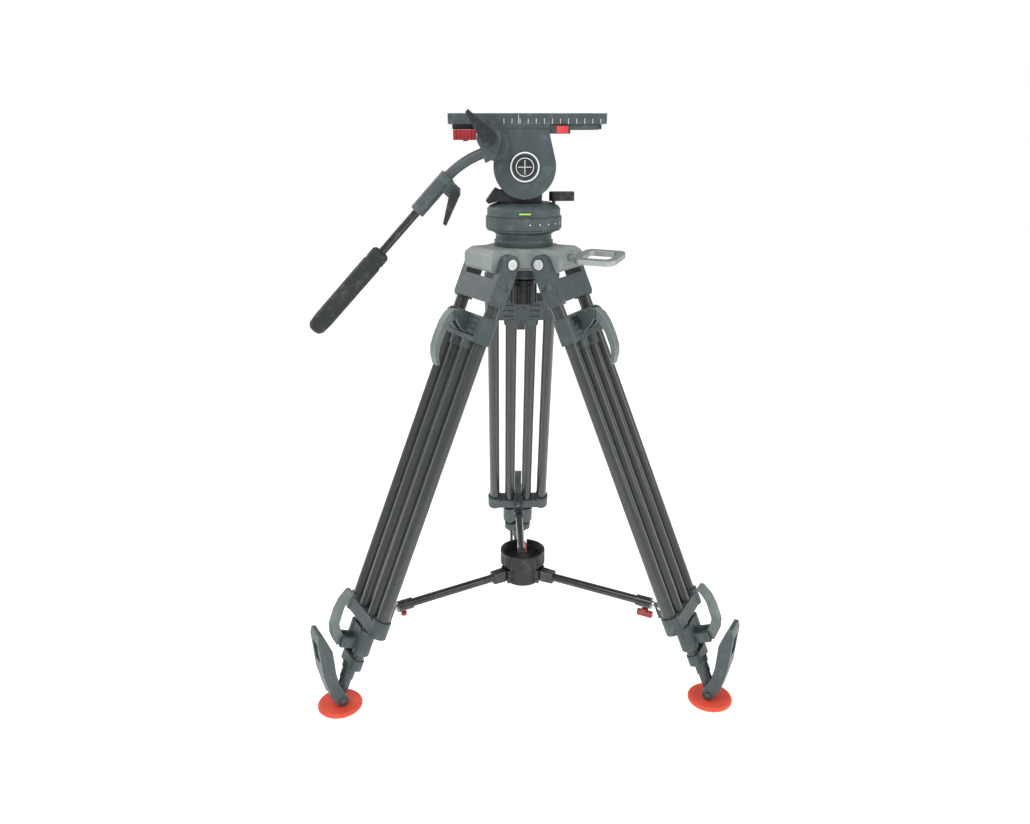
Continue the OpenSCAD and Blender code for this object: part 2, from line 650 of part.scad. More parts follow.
module rubber_foot(k) {
    color(red) at_foot(k) translate([0, 0, -foot_joint_z]) difference() {
        union() {
            rotate_extrude($fn = 96) polygon([[0, 0], [foot_d / 2 - 2, 0], [foot_d / 2, 2], [foot_d / 2, 5],
                [foot_d / 2 - 3, 8], [foot_d / 2 - 8, 8.5], [18, 6], [0, 6]]);
            for (y = [-7.6, 7.6]) translate([0, y, 0]) {
                translate([0, 0, foot_joint_z]) pin_y(8, 4.6);
                translate([-8, -2.3, 4]) cube([16, 4.6, foot_joint_z - 4]);
            }
        }
        translate([0, 0, foot_joint_z]) pin_y(3.05, 60);
    }
}

crown_casting();
hinge_bolts();
carry_loop();
level_ball();
bowl_clamp_knob();
pan_base();
pan_drag_ring();
pan_housing();
tilt_core();
pan_brake_lever();
tilt_brake_lever();
tilt_frame();
camera_plate();
camera_screws();
plate_clamp_knob();
release_button();
handle_arm();
handle_clamp_lever();
handle_rod();
rod_clamp_lever();
handle_grip();
spreader_hub();
spreader_arms();
thumb_screws();
for (k = [0:2]) {
    leg_fork(k);
    outer_tubes(k);
    leg_bracket(k);
    upper_clamp(k);
    upper_lever(k);
    inner_tubes(k);
    lower_clamp(k);
    lower_lever(k);
    lower_stage(k);
    boot_lever(k);
    rubber_foot(k);
    spreader_rod(k);
}
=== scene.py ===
"""Looks of a fluid head on a three-section tripod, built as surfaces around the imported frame."""
import json
import math

import bmesh
import bpy
import numpy as np
from mathutils import Matrix, Vector


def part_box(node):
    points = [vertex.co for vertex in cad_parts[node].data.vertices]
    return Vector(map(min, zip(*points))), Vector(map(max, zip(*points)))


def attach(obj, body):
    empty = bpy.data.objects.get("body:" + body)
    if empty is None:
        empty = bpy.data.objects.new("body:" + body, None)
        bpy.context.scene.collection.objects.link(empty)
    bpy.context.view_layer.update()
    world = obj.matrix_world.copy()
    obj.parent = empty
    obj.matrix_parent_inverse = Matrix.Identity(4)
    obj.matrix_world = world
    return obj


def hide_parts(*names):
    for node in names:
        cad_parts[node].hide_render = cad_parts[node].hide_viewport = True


bl_info = {
    "name": "Fluid Head Tripod",
    "version": (1, 0, 0),
    "blender": (4, 5, 0),
    "location": "3D View > Sidebar > Tripod",
    "description": "Builds the looks of a telescopic tripod with a fluid pan-and-tilt head",
    "category": "Object",
}

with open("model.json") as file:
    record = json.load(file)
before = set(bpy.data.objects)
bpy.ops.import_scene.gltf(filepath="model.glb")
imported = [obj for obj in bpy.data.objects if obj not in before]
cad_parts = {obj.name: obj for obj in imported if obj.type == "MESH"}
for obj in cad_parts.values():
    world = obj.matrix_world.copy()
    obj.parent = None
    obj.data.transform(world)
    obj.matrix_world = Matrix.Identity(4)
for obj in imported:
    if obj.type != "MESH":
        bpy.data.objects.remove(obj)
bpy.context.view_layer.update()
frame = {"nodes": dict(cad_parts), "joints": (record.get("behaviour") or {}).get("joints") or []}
JOINTS = {joint["name"]: joint for joint in frame["joints"]}
SIDES = ("left", "right", "rear")
TURN = 2 * math.pi
MM = 0.001


# ---------------------------------------------------------------- settings

def size(name, text, default):
    """A length property in metres."""
    return bpy.props.FloatProperty(name=name, description=text, default=default, min=0, unit="LENGTH")


def tint(name, text, default):
    """A colour property."""
    return bpy.props.FloatVectorProperty(name=name, description=text, default=default, subtype="COLOR",
                                         size=3, min=0, max=1)


class TripodSizes(bpy.types.PropertyGroup):
    tube_radius: size("Tube radius", "Radius of the outer and inner leg tubes", 0.011)
    outer_offset: size("Outer tubes", "Outer tubes' distance from the leg's centre line", 0.0525)
    inner_offset: size("Inner tubes", "Inner tubes' distance from the leg's centre line", 0.0185)
    edge_round: size("Edge rounding", "Width of the rounding on cast edges", 0.0011)
    mark_depth: size("Mark depth", "How far a painted mark stands on its face", 0.00012)


class TripodColours(bpy.types.PropertyGroup):
    casting: tint("Castings", "Satin paint of the head and the leg castings", (0.052, 0.070, 0.074))
    crown: tint("Crown", "Lighter paint of the crown", (0.235, 0.27, 0.26))
    web: tint("Fork webs", "Paint of the legs' fork webs and flip levers", (0.135, 0.165, 0.160))
    carbon: tint("Carbon", "Resin over the wound carbon tubes", (0.030, 0.036, 0.033))
    black: tint("Black", "Gloss black of the handle and spreader tubes", (0.011, 0.013, 0.016))
    rubber: tint("Grip rubber", "Rubber of the pan handle's grip", (0.022, 0.026, 0.027))
    red: tint("Foot rubber", "Rubber of the feet", (0.78, 0.085, 0.045))
    dark_red: tint("Controls", "Plastic of the red controls", (0.34, 0.018, 0.022))
    metal: tint("Bare metal", "Turned steel parts", (0.62, 0.64, 0.65))
    cast_metal: tint("Cast metal", "Light cast metal of the carrying loop", (0.40, 0.44, 0.42))
    mark: tint("Marks", "Paint of the scale marks", (0.80, 0.84, 0.83))


class TripodStage(bpy.types.PropertyGroup):
    lens: bpy.props.FloatProperty(name="Lens", description="Focal length on a 36 mm sensor", default=29.15,
                                  min=10, unit="CAMERA")
    eye: bpy.props.FloatVectorProperty(name="Eye", description="Camera's place from the tripod's axis",
                                       default=(-0.0509, -1.4266, 0.9539), subtype="TRANSLATION")
    dip: bpy.props.FloatProperty(name="Dip", description="Camera's angle below the horizontal",
                                 default=math.radians(18.43), subtype="ANGLE")
    heading: bpy.props.FloatProperty(name="Heading", description="Camera's turn towards +X",
                                     default=math.radians(1.46), subtype="ANGLE")
    key: bpy.props.FloatProperty(name="Key light", description="Power of the overhead light in watts",
                                 default=34.0, min=0)
    ambient: bpy.props.FloatProperty(name="Ambient", description="Strength of the white surroundings",
                                     default=0.55, min=0)


# ---------------------------------------------------------------- surfaces

def grid(rows, close_u=False, close_v=True, caps=(False, False)):
    """Points P[i, j] joined by quads. Row i runs round the section when close_v is set; caps close the first
    and last rows with one face each, and close_u joins the last row to the first."""
    rows = np.asarray(rows, float)
    nu, nv = rows.shape[:2]
    i = np.arange(nu if close_u else nu - 1)
    j = np.arange(nv if close_v else nv - 1)
    a, b = np.meshgrid(i, j, indexing="ij")
    c, d = (a + 1) % nu, (b + 1) % nv
    quads = np.stack([a * nv + b, a * nv + d, c * nv + d, c * nv + b], -1).reshape(-1, 4).tolist()
    if caps[0]:
        quads.append(list(range(nv))[::-1])
    if caps[1]:
        quads.append([(nu - 1) * nv + k for k in range(nv)])
    return rows.reshape(-1, 3), quads


def lathe(profile, turns=64):
    """A profile of (radius, height) points turned about z: (r cos a, r sin a, h) for angles a in one turn."""
    profile = np.asarray(profile, float)
    a = np.linspace(0, TURN, turns, endpoint=False)
    r, h = profile[:, 0, None], profile[:, 1, None]
    rows = np.stack([r * np.cos(a), r * np.sin(a), h + 0 * a], -1)
    return grid(rows, caps=(profile[0, 0] > 1e-9, profile[-1, 0] > 1e-9))


def superellipse(half_u, half_v, power=5.0, count=40):
    """A rounded rectangle as |u|^p + |v|^p = 1, scaled to its half sizes."""
    a = np.linspace(0, TURN, count, endpoint=False)
    c, s = np.cos(a), np.sin(a)
    return np.stack([half_u * np.sign(c) * np.abs(c) ** (2 / power),
                     half_v * np.sign(s) * np.abs(s) ** (2 / power)], -1)


def plate(outline, low, high):
    """A flat outline (x, y) raised from low to high."""
    outline = np.asarray(outline, float)
    rows = [np.column_stack([outline, np.full(len(outline), h)]) for h in (low, high)]
    return grid(rows, caps=(True, True))


def moved(part, origin, x=None, y=None, z=None):
    """A part placed so that its own axes lie along x, y and z at origin. Two axes are enough."""
    points, faces = part
    if x is None:
        x = np.cross(y, z)
    if y is None:
        y = np.cross(z, x)
    if z is None:
        z = np.cross(x, y)
    basis = np.stack([np.asarray(v, float) / np.linalg.norm(v) for v in (x, y, z)])
    return points @ basis + np.asarray(origin, float), faces


def joined(parts):
    """Several parts as one mesh."""
    points, faces, shift = [], [], 0
    for p, f in parts:
        points.append(p)
        faces += [[k + shift for k in face] for face in f]
        shift += len(p)
    return np.concatenate(points), faces


def piece(name, part, body, material, replaces=(), round_edges=0.0, smooth=35.0, subdivide=0):
    """An object from a part: it rides on a body and stands for CAD nodes."""
    points, faces = part
    mesh = bpy.data.meshes.new(name)
    mesh.from_pydata(points.tolist(), [], faces)
    edit = bmesh.new()
    edit.from_mesh(mesh)
    bmesh.ops.remove_doubles(edit, verts=edit.verts, dist=1e-7)
    bmesh.ops.recalc_face_normals(edit, faces=edit.faces)
    edit.to_mesh(mesh)
    edit.free()
    return finish_piece(name, mesh, body, material, replaces, round_edges, smooth, subdivide)


def finish_piece(name, mesh, body, material, replaces, round_edges, smooth, subdivide=0):
    """Links a mesh as a piece, rounds its edges and shades it."""
    shown = bpy.data.objects.new(name, mesh)
    bpy.context.scene.collection.objects.link(shown)
    materials = material if isinstance(material, (list, tuple)) else [material]
    for m in materials:
        mesh.materials.append(m)
    mesh.shade_smooth()
    mesh.set_sharp_from_angle(angle=math.radians(smooth))
    if round_edges:
        bevel = shown.modifiers.new("Rounding", "BEVEL")
        bevel.width = round_edges
        bevel.segments = 2
        bevel.limit_method = "ANGLE"
        bevel.angle_limit = math.radians(smooth)
        bevel.miter_outer = "MITER_ARC"
        # Faces made by the rounding take the second material, a lighter paint that is partly wear and partly
        # a painted highlight on the edges.
        if len(materials) > 1:
            bevel.material = 1
        normals = shown.modifiers.new("Normals", "WEIGHTED_NORMAL")
        normals.keep_sharp = False
    if subdivide:
        levels = shown.modifiers.new("Smoothing", "SUBSURF")
        levels.levels = levels.render_levels = subdivide
    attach(shown, body)
    for node in replaces:
        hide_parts(node)
    return shown


def softened(node, body, material, width, smooth=32.0):
    """A copy of a CAD node's mesh, flat faces merged and edges rounded. It stands for the node."""
    mesh = frame["nodes"][node].data.copy()
    mesh.materials.clear()
    for name in [a.name for a in mesh.attributes if a.name in ("custom_normal", "sharp_edge", "sharp_face")]:
        mesh.attributes.remove(mesh.attributes[name])
    edit = bmesh.new()
    edit.from_mesh(mesh)
    bmesh.ops.remove_doubles(edit, verts=edit.verts, dist=4e-6)
    bmesh.ops.dissolve_degenerate(edit, edges=edit.edges, dist=4e-6)
    bmesh.ops.dissolve_limit(edit, angle_limit=math.radians(0.6), verts=edit.verts, edges=edit.edges)
    edit.to_mesh(mesh)
    edit.free()
    name = node + "_shell"
    mesh.name = name
    return finish_piece(name, mesh, body, material, (node,), width, smooth)


def mapped(obj, u, v, name="Wrap"):
    """Gives a piece a UV map in metres from one (u, v) pair for each of its vertices."""
    mesh = obj.data
    corner = np.zeros(len(mesh.loops), np.int32)
    mesh.loops.foreach_get("vertex_index", corner)
    layer = mesh.uv_layers.new(name=name)
    pairs = np.column_stack([u[corner], v[corner]]).astype(np.float32)
    layer.data.foreach_set("uv", pairs.ravel())
    return obj


def vertices(obj):
    """A mesh's vertices as an array."""
    flat = np.zeros(len(obj.data.vertices) * 3, np.float32)
    obj.data.vertices.foreach_get("co", flat)
    return flat.reshape(-1, 3).astype(float)


# ---------------------------------------------------------------- places

# The tripod's axis, at x zero and at the pan joint's y: the crown's lobes reach as far to the left as to the
# right.
AXIS = np.array([0.0, JOINTS["pan"]["pos_m"][1], 0.0])
TILT = np.array(JOINTS["tilt"]["pos_m"], float)


class Leg:
    """A leg's own directions: out of it, across it along its hinge, and down it."""

    def __init__(self, side):
        self.side = side
        self.hinge = np.array(JOINTS["spread_" + side]["pos_m"], float)
        self.down = np.array(JOINTS["middle_extend_" + side]["axis"], float)
        radial = (self.hinge - AXIS) * (1, 1, 0)
        self.radial = radial / np.linalg.norm(radial)
        self.across = np.cross((0, 0, 1), self.radial)
        self.out = np.cross(self.across, -self.down)
        self.foot = np.array(JOINTS["foot_tilt_" + side]["pos_m"], float)

    def at(self, out, across, down):
        """A point from its distances along the leg's directions, in millimetres."""
        return self.hinge + MM * (out * self.out + across * self.across + down * self.down)

    def put(self, part, out, across, down):
        """A part in millimetres, with x out of the leg, y across it and z up it, placed on the leg."""
        points, faces = part
        return moved((points * MM, faces), self.at(out, across, down), x=self.out, y=self.across)

    def put_foot(self, part, z=0.0):
        """A part in millimetres, upright, with x outward from the tripod, placed at the foot's joint."""
        points, faces = part
        return moved((points * MM, faces), self.foot + (0, 0, z * MM), x=self.radial, y=self.across)


LEGS = {side: Leg(side) for side in SIDES}


def on_axis(part, x=0.0, y=0.0, z=0.0):
    """A part in millimetres, placed from the tripod's axis."""
    points, faces = part
    return points * MM + AXIS + np.array([x, y, z]) * MM, faces


# ---------------------------------------------------------------- shader groups

def group(name, inputs, outputs):
    """An empty shader group with its sockets, and its two ends."""
    tree = bpy.data.node_groups.new(name, "ShaderNodeTree")
    for label, kind, value in inputs:
        socket = tree.interface.new_socket(name=label, in_out="INPUT", socket_type="NodeSocket" + kind)
        if value is not None:
            socket.default_value = value
    for label, kind in outputs:
        tree.interface.new_socket(name=label, in_out="OUTPUT", socket_type="NodeSocket" + kind)
    return tree, tree.nodes.new("NodeGroupInput"), tree.nodes.new("NodeGroupOutput")


def add(tree, kind, values=None, **settings):
    """A shader node with its settings and the values of its sockets."""
    made = tree.nodes.new("ShaderNode" + kind)
    for key, value in settings.items():
        setattr(made, key, value)
    for key, value in (values or {}).items():
        if isinstance(value, bpy.types.NodeSocket):
            tree.links.new(value, made.inputs[key])
        else:
            made.inputs[key].default_value = value
    return made


def sums(tree, operation, a, b=None, clamp=False):
    """The result of one Math node."""
    values = {0: a} if b is None else {0: a, 1: b}
    return add(tree, "Math", values, operation=operation, use_clamp=clamp).outputs[0]


def span(tree, value, low, high):
    """A 0 to 1 value stretched to run from low to high."""
    made = add(tree, "MapRange", {"Value": value, "To Min": low, "To Max": high})
    return made.outputs["Result"]


def speckle_group():
    """Cast and powder-painted skin: fine pits, slow mottling and rubbed patches."""
    tree, enter, leave = group("Painted Skin", [("Position", "Vector", None), ("Grain", "Float", 1400.0),
                                                ("Mottle", "Float", 28.0), ("Rub", "Float", 60.0)],
                               [("Height", "Float"), ("Tone", "Float"), ("Rubbed", "Float")])
    where = enter.outputs["Position"]
    fine = add(tree, "TexNoise", {"Vector": where, "Scale": enter.outputs["Grain"], "Detail": 3.0,
                                  "Roughness": 0.6})
    cells = add(tree, "TexVoronoi", {"Vector": where, "Scale": enter.outputs["Grain"]}, feature="SMOOTH_F1")
    height = sums(tree, "MULTIPLY_ADD", fine.outputs[0], 0.7)
    tree.links.new(cells.outputs["Distance"], height.node.inputs[2])
    tone = add(tree, "TexNoise", {"Vector": where, "Scale": enter.outputs["Mottle"], "Detail": 5.0,
                                  "Roughness": 0.62})
    rub = add(tree, "TexNoise", {"Vector": where, "Scale": enter.outputs["Rub"], "Detail": 6.0,
                                 "Roughness": 0.7})
    worn = add(tree, "MapRange", {"Value": rub.outputs[0], "From Min": 0.52, "From Max": 0.66})
    tree.links.new(height, leave.inputs["Height"])
    tree.links.new(tone.outputs[0], leave.inputs["Tone"])
    tree.links.new(worn.outputs["Result"], leave.inputs["Rubbed"])
    return tree


def winding_group():
    """Carbon tows wound both ways round a tube: two sets of diagonal bands over the wrap's (u, v) in metres,
    sin(2 pi (u + v) / pitch) against sin(2 pi (u - v) / pitch), so that they cross as in a twill."""
    tree, enter, leave = group("Wound Carbon", [("Wrap", "Vector", None), ("Pitch", "Float", 0.0046)],
                               [("Height", "Float"), ("Tow", "Float")])
    uv = add(tree, "SeparateXYZ", {"Vector": enter.outputs["Wrap"]})
    waves = []
    for operation in ("ADD", "SUBTRACT"):
        run = sums(tree, operation, uv.outputs[0], uv.outputs[1])
        turn = sums(tree, "DIVIDE", run, enter.outputs["Pitch"])
        waves.append(sums(tree, "SINE", sums(tree, "MULTIPLY", turn, TURN)))
    cross = sums(tree, "MULTIPLY", *waves)
    tow = add(tree, "MapRange", {"Value": cross, "From Min": -0.35, "From Max": 0.35},
              interpolation_type="SMOOTHSTEP")
    thread = add(tree, "CombineXYZ", {"X": sums(tree, "MULTIPLY", uv.outputs[0], 9.0),
                                           "Y": uv.outputs[1]})
    fibre = add(tree, "TexNoise", {"Vector": thread.outputs[0], "Scale": 420.0, "Detail": 2.0})
    tree.links.new(sums(tree, "MULTIPLY_ADD", fibre.outputs[0], 0.35), leave.inputs["Height"])
    leave.inputs["Height"].links[0].from_node.inputs[2].default_value = 0.0
    tree.links.new(tow.outputs["Result"], leave.inputs["Tow"])
    return tree


def scratch_group():
    """Turned or brushed metal: noise pulled out along one direction, as fine scratches, with stains."""
    tree, enter, leave = group("Turned Metal", [("Position", "Vector", None), ("Fineness", "Float", 900.0)],
                               [("Height", "Float"), ("Stain", "Float")])
    pulled = add(tree, "VectorMath", {0: enter.outputs["Position"], 1: (0.06, 1.0, 1.0)},
                 operation="MULTIPLY")
    lines = add(tree, "TexNoise", {"Vector": pulled.outputs[0], "Scale": enter.outputs["Fineness"],
                                   "Detail": 4.0})
    stain = add(tree, "TexNoise", {"Vector": enter.outputs["Position"], "Scale": 90.0, "Detail": 4.0})
    tree.links.new(lines.outputs[0], leave.inputs["Height"])
    tree.links.new(stain.outputs[0], leave.inputs["Stain"])
    return tree


# ---------------------------------------------------------------- materials

def material(name, metallic=0.0, coat=0.0, coat_roughness=0.1, specular=0.5, ior=1.5):
    """A material with its shader's steady values set, and its tree, shader and coordinates."""
    made = bpy.data.materials.new(name)
    made.use_nodes = True
    tree = made.node_tree
    shader = next(n for n in tree.nodes if n.type == "BSDF_PRINCIPLED")
    shader.inputs["Metallic"].default_value = metallic
    shader.inputs["Coat Weight"].default_value = coat
    shader.inputs["Coat Roughness"].default_value = coat_roughness
    shader.inputs["Specular IOR Level"].default_value = specular
    shader.inputs["IOR"].default_value = ior
    return made, tree, shader, tree.nodes.new("ShaderNodeTexCoord")


def bumped(tree, shader, height, strength, depth):
    """Feeds a height through a Bump node to the shader's normal."""
    bump = add(tree, "Bump", {"Height": height, "Strength": strength, "Distance": depth})
    tree.links.new(bump.outputs[0], shader.inputs["Normal"])


def shade_of(colour, factor):
    """A colour made lighter or darker, with full alpha."""
    return tuple(min(1.0, c * factor) for c in colour) + (1.0,)


def painted(name, colour, roughness=(0.36, 0.56), grain=1400.0, strength=0.22, tone=0.16, worn=0.10,
            bare=(0.40, 0.43, 0.43), coat=0.0, specular=0.5):
    """Paint or moulded plastic: base colour mottled by tone, rubbed through to bare in patches."""
    made, tree, shader, where = material(name, coat=coat, specular=specular)
    skin = add(tree, "Group", node_tree=bpy.data.node_groups["Painted Skin"])
    tree.links.new(where.outputs["Object"], skin.inputs["Position"])
    skin.inputs["Grain"].default_value = grain
    blend = add(tree, "Mix", {"Factor": skin.outputs["Tone"], 6: shade_of(colour, 1 - 2 * tone),
                              7: shade_of(colour, 1 + 2 * tone)}, data_type="RGBA")
    rubbed = add(tree, "Mix", {"Factor": sums(tree, "MULTIPLY", skin.outputs["Rubbed"], worn),
                               6: blend.outputs[2], 7: tuple(bare) + (1.0,)}, data_type="RGBA")
    tree.links.new(rubbed.outputs[2], shader.inputs["Base Color"])
    tree.links.new(span(tree, skin.outputs["Tone"], *roughness), shader.inputs["Roughness"])
    bumped(tree, shader, skin.outputs["Height"], strength, 0.0004)
    return made


def carbon_tube(name, colour):
    """Resin-coated carbon: tows that catch the light by turns, under a clear coat."""
    made, tree, shader, where = material(name, metallic=0.15, coat=0.55, coat_roughness=0.16)
    wound = add(tree, "Group", node_tree=bpy.data.node_groups["Wound Carbon"])
    tree.links.new(where.outputs["UV"], wound.inputs["Wrap"])
    skin = add(tree, "Group", node_tree=bpy.data.node_groups["Painted Skin"])
    tree.links.new(where.outputs["Object"], skin.inputs["Position"])
    blend = add(tree, "Mix", {"Factor": wound.outputs["Tow"], 6: shade_of(colour, 0.72),
                              7: shade_of(colour, 1.35)}, data_type="RGBA")
    smudge = add(tree, "Mix", {"Factor": sums(tree, "MULTIPLY", skin.outputs["Rubbed"], 0.25),
                               6: blend.outputs[2], 7: shade_of(colour, 2.2)}, data_type="RGBA")
    tree.links.new(smudge.outputs[2], shader.inputs["Base Color"])
    rough = sums(tree, "MULTIPLY_ADD", wound.outputs["Tow"], 0.10)
    tree.links.new(span(tree, skin.outputs["Tone"], 0.26, 0.46), rough.node.inputs[2])
    tree.links.new(rough, shader.inputs["Roughness"])
    bumped(tree, shader, wound.outputs["Height"], 0.25, 0.0002)
    return made


def bare_metal(name, colour, roughness=(0.20, 0.42), strength=0.12):
    """Turned or cast metal with fine scratches and slow stains."""
    made, tree, shader, where = material(name, metallic=1.0)
    turned = add(tree, "Group", node_tree=bpy.data.node_groups["Turned Metal"])
    tree.links.new(where.outputs["Object"], turned.inputs["Position"])
    blend = add(tree, "Mix", {"Factor": turned.outputs["Stain"], 6: shade_of(colour, 0.8),
                              7: shade_of(colour, 1.15)}, data_type="RGBA")
    tree.links.new(blend.outputs[2], shader.inputs["Base Color"])
    tree.links.new(span(tree, turned.outputs["Stain"], *roughness), shader.inputs["Roughness"])
    bumped(tree, shader, turned.outputs["Height"], strength, 0.0002)
    return made


def paint(name):
    """A finished material by name."""
    found = bpy.data.materials.get(name)
    if found is None:
        raise RuntimeError(f"run the finishes operator first: there is no material named {name}")
    return found


class TRIPOD_OT_finishes(bpy.types.Operator):
    """Mixes the paints, metals, rubbers and carbon"""
    bl_idname = "tripod.finishes"
    bl_label = "Finishes"

    def execute(self, context):
        colours = context.scene.tripod_colours
        speckle_group()
        winding_group()
        scratch_group()
        painted("Casting Paint", colours.casting)
        # The edge materials are lighter copies of the face paints for the rounded edges: partly rubbed wear,
        # partly a painted highlight.
        painted("Casting Edge Wear And Highlight", [c * 1.7 for c in colours.casting], (0.28, 0.44), worn=0.5)
        painted("Crown Paint", colours.crown, (0.40, 0.58), worn=0.2)
        painted("Crown Edge Wear And Highlight", [c * 1.25 for c in colours.crown], (0.32, 0.48), worn=0.5)
        painted("Web Paint", colours.web, (0.38, 0.56), worn=0.15)
        painted("Web Edge Wear And Highlight", [c * 1.35 for c in colours.web], (0.30, 0.45), worn=0.5)
        painted("Gloss Black", colours.black, (0.16, 0.34), grain=500.0, strength=0.05, coat=0.3)
        painted("Satin Black", colours.black, (0.34, 0.50), grain=1500.0, strength=0.2)
        painted("Grip Rubber", colours.rubber, (0.50, 0.72), grain=2200.0, strength=0.4, specular=0.35)
        painted("Pad Rubber", [c * 0.7 for c in colours.rubber], (0.62, 0.82), grain=2600.0, strength=0.5,
                specular=0.3)
        painted("Foot Rubber", colours.red, (0.46, 0.66), grain=900.0, strength=0.18, tone=0.10, worn=0.14,
                bare=(0.55, 0.22, 0.16), specular=0.4)
        painted("Control Red", colours.dark_red, (0.28, 0.42), grain=700.0, strength=0.1, tone=0.12)
        # This brighter red is the release button's own colour and also a painted highlight on the rounded
        # edges of the darker red controls.
        painted("Button Red And Edge Highlight", [min(1.0, c * 1.9) for c in colours.dark_red], (0.24, 0.38), grain=700.0,
                strength=0.1, tone=0.08)
        painted("Mark Paint", colours.mark, (0.45, 0.60), grain=1800.0, strength=0.08, tone=0.05)
        painted("Vial Green", (0.38, 0.62, 0.12), (0.08, 0.16), grain=300.0, strength=0.02, tone=0.1)
        bare_metal("Turned Steel", colours.metal)
        bare_metal("Cast Metal", colours.cast_metal, (0.42, 0.58), 0.3)
        bare_metal("Spreader Rod", [c * 0.8 for c in colours.metal], (0.16, 0.30))
        carbon_tube("Leg Carbon", colours.carbon)
        return {"FINISHED"}


# ---------------------------------------------------------------- castings

# CAD nodes whose shape is kept, each with its body's node name, slot, faces' finish and edges' finish. The
# edges' finish goes on the faces that the rounding makes. It is a lighter paint: partly rubbed wear and
# partly a painted highlight along the rounded edges, also where a black or red part takes a lighter paint on
# its edges.
SINGLE_SHELLS = (
    ("crown_casting", "crown", "webbing", "Crown Paint", "Crown Edge Wear And Highlight"),
    ("level_ball", "level", "castings", "Casting Paint", "Casting Edge Wear And Highlight"),
    ("pan_base", "level", "castings", "Casting Paint", "Casting Edge Wear And Highlight"),
    # Where a black part takes the casting paint on its edges, or a red part the brighter red, the lighter
    # edge is a painted highlight.
    ("bowl_clamp_knob", "bowl_knob", "castings", "Satin Black", "Casting Edge Wear And Highlight"),
    ("pan_drag_ring", "drag_ring", "castings", "Casting Paint", "Casting Edge Wear And Highlight"),
    ("pan_housing", "pan", "castings", "Casting Paint", "Casting Edge Wear And Highlight"),
    ("tilt_core", "pan", "castings", "Satin Black", "Casting Paint"),
    ("pan_brake_lever", "pan_brake", "castings", "Satin Black", "Casting Paint"),
    ("tilt_brake_lever", "tilt_brake", "castings", "Satin Black", "Casting Paint"),
    ("tilt_frame", "tilt", "castings", "Casting Paint", "Casting Edge Wear And Highlight"),
    ("camera_plate", "plate", "castings", "Casting Paint", "Casting Edge Wear And Highlight"),
    ("plate_clamp_knob", "plate_knob", "red_plastic", "Control Red", "Button Red And Edge Highlight"),
    ("release_button", "button", "red_plastic", "Button Red And Edge Highlight", "Button Red And Edge Highlight"),
    ("handle_arm", "handle", "handle_black", "Casting Paint", "Casting Edge Wear And Highlight"),
    ("spreader_hub", "hub", "castings", "Satin Black", "Casting Edge Wear And Highlight"),
    ("spreader_arms", "hub", "handle_black", "Gloss Black", "Casting Edge Wear And Highlight"),
    ("thumb_screws", "hub", "red_plastic", "Control Red", "Button Red And Edge Highlight"),
    ("hinge_bolts", "crown", "bright_metal", "Turned Steel", "Turned Steel"),
    ("carry_loop", "carry_loop", "cast_light", "Cast Metal", "Cast Metal"),
    ("camera_screws", "plate", "bright_metal", "Turned Steel", "Turned Steel"),
    ("handle_clamp_lever", "handle_lever", "castings", "Satin Black", "Casting Paint"),
    ("handle_rod", "rod", "handle_black", "Gloss Black", "Gloss Black"),
    ("rod_clamp_lever", "rod_lever", "castings", "Satin Black", "Casting Paint"),
    ("handle_grip", "rod", "grip_rubber", "Grip Rubber", "Grip Rubber"),
)
LEG_SHELLS = (
    ("leg_fork", "leg", "castings", "Casting Paint", "Casting Edge Wear And Highlight"),
    ("leg_bracket", "leg", "castings", "Casting Paint", "Casting Edge Wear And Highlight"),
    ("upper_clamp", "middle", "castings", "Casting Paint", "Casting Edge Wear And Highlight"),
    ("lower_clamp", "middle", "castings", "Casting Paint", "Casting Edge Wear And Highlight"),
    ("boot_lever", "boot", "castings", "Casting Paint", "Casting Edge Wear And Highlight"),
    ("upper_lever", "upper_lever", "webbing", "Web Paint", "Web Edge Wear And Highlight"),
    ("lower_lever", "lower_lever", "webbing", "Web Paint", "Web Edge Wear And Highlight"),
    ("lower_stage", "lower", "castings", "Casting Paint", "Casting Edge Wear And Highlight"),
    ("rubber_foot", "foot", "red_rubber", "Foot Rubber", "Foot Rubber"),
    ("spreader_rod", "rod", "bright_metal", "Spreader Rod", "Spreader Rod"),
)


class TRIPOD_OT_castings(bpy.types.Operator):
    """Rounds the edges of the cast and moulded parts and paints them"""
    bl_idname = "tripod.castings"
    bl_label = "Castings"

    def execute(self, context):
        width = context.scene.tripod_sizes.edge_round
        # Each shell's rounded edges take the lighter edge paint, a painted highlight with some wear.
        for node, body, slot, face, edge_wear_and_highlight in SINGLE_SHELLS:
            softened(node, body, [paint(face), paint(edge_wear_and_highlight)], width)
        for node, body, slot, face, edge_wear_and_highlight in LEG_SHELLS:
            for side in SIDES:
                softened(f"{node}_{side}", f"{body}_{side}", [paint(face), paint(edge_wear_and_highlight)], width)
        return {"FINISHED"}


# ---------------------------------------------------------------- leg tubes

# From the foot's joint up the leg to the yoke that holds the lowest tubes, in millimetres.
YOKE_ABOVE_FOOT = 77.0
# Walls, the gap between tubes that slide in each other, and how far the winding stands over the lowest
# tubes, in millimetres.
TUBE_WALL = 2.0
LOWEST_WALL = 1.2
SLIDE_GAP = 0.3
SLEEVE = 0.06


def tube(outer, inner, low, high, chamfer=0.6, turns=64):
    """A pipe: its wall's outline (radius, height), chamfered at both ends, turned about z."""
    outline = [(inner, low), (outer - chamfer, low), (outer, low + chamfer), (outer, high - chamfer),
               (outer - chamfer, high), (inner, high)]
    a = np.linspace(0, TURN, turns, endpoint=False)
    r, h = np.array(outline).T[:, :, None]
    rows = np.stack([r * np.cos(a), r * np.sin(a), h + 0 * a], -1)
    return grid(rows, close_u=True)


